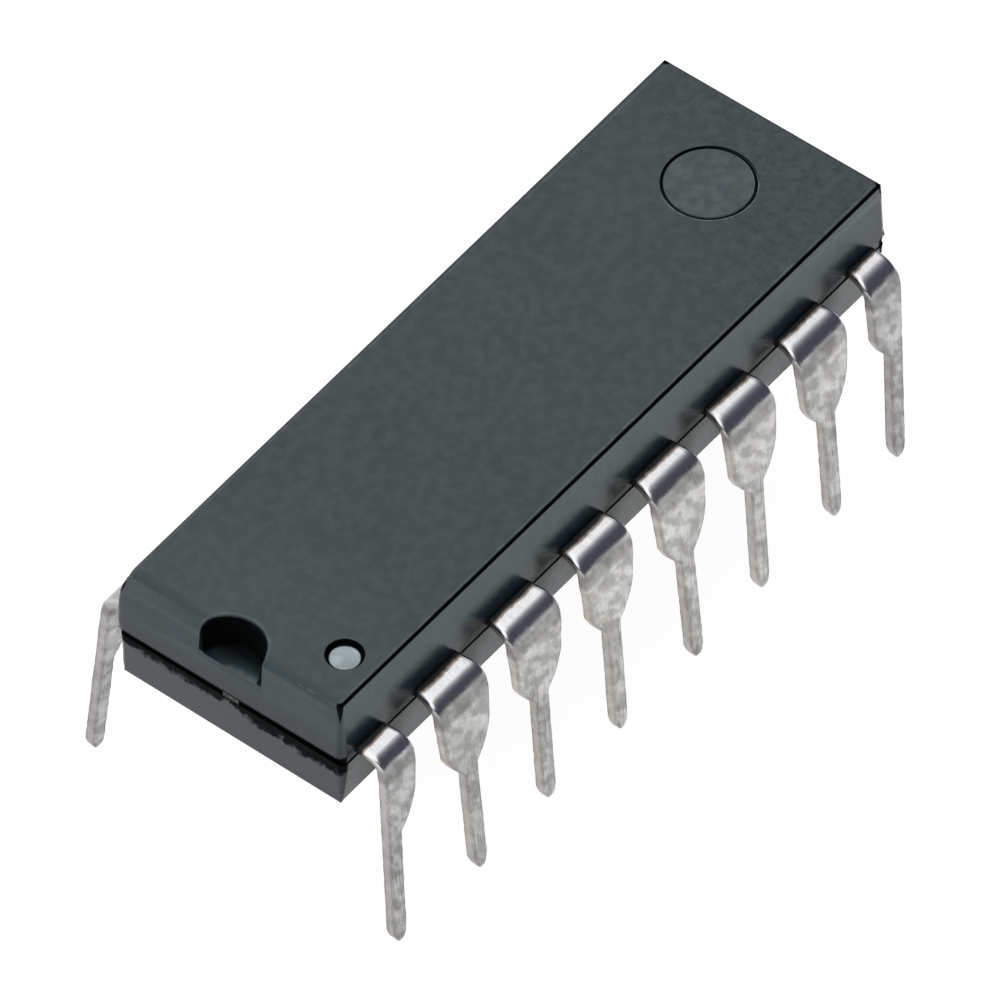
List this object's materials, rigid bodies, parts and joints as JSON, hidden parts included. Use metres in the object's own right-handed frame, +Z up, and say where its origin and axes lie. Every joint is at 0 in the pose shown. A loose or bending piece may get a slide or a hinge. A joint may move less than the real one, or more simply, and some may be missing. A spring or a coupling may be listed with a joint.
{
  "type": "dual in-line integrated circuit",
  "caption": "Moulded dual in-line circuit package with an end notch, a corner dimple and two rows of formed, tapered leads.",
  "frame": {"origin": "middle of the plane that the lead tips stand on", "axes": "+X along the body, away from the notch; +Y across it, toward the row that holds leads 9 to 16; +Z up, out of the top face"},
  "size_m": [0.0192, 0.009, 0.0075],
  "materials": {
    "moulding": "matt moulded, fine grain",
    "lead_metal": "dull, mottled solder dip",
    "frame_metal": "bare stamped strip",
    "die_adhesive": "silver-filled, dull",
    "silicon": "polished",
    "bond_wire": "bright drawn"
  },
  "bodies": {
    "root": {"moulded_body": "moulding", "lead_01": "lead_metal", "lead_02": "lead_metal", "lead_03": "lead_metal", "lead_04": "lead_metal", "lead_05": "lead_metal", "lead_06": "lead_metal", "lead_07": "lead_metal", "lead_08": "lead_metal", "lead_09": "lead_metal", "lead_10": "lead_metal", "lead_11": "lead_metal", "lead_12": "lead_metal", "lead_13": "lead_metal", "lead_14": "lead_metal", "lead_15": "lead_metal", "lead_16": "lead_metal", "die_paddle": "frame_metal", "die_attach": "die_adhesive", "silicon_die": "silicon", "bond_wire_01": "bond_wire", "bond_wire_02": "bond_wire", "bond_wire_03": "bond_wire", "bond_wire_04": "bond_wire", "bond_wire_05": "bond_wire", "bond_wire_06": "bond_wire", "bond_wire_07": "bond_wire", "bond_wire_08": "bond_wire", "bond_wire_09": "bond_wire", "bond_wire_10": "bond_wire", "bond_wire_11": "bond_wire", "bond_wire_12": "bond_wire", "bond_wire_13": "bond_wire", "bond_wire_14": "bond_wire", "bond_wire_15": "bond_wire", "bond_wire_16": "bond_wire"}
  },
  "joints": []
}
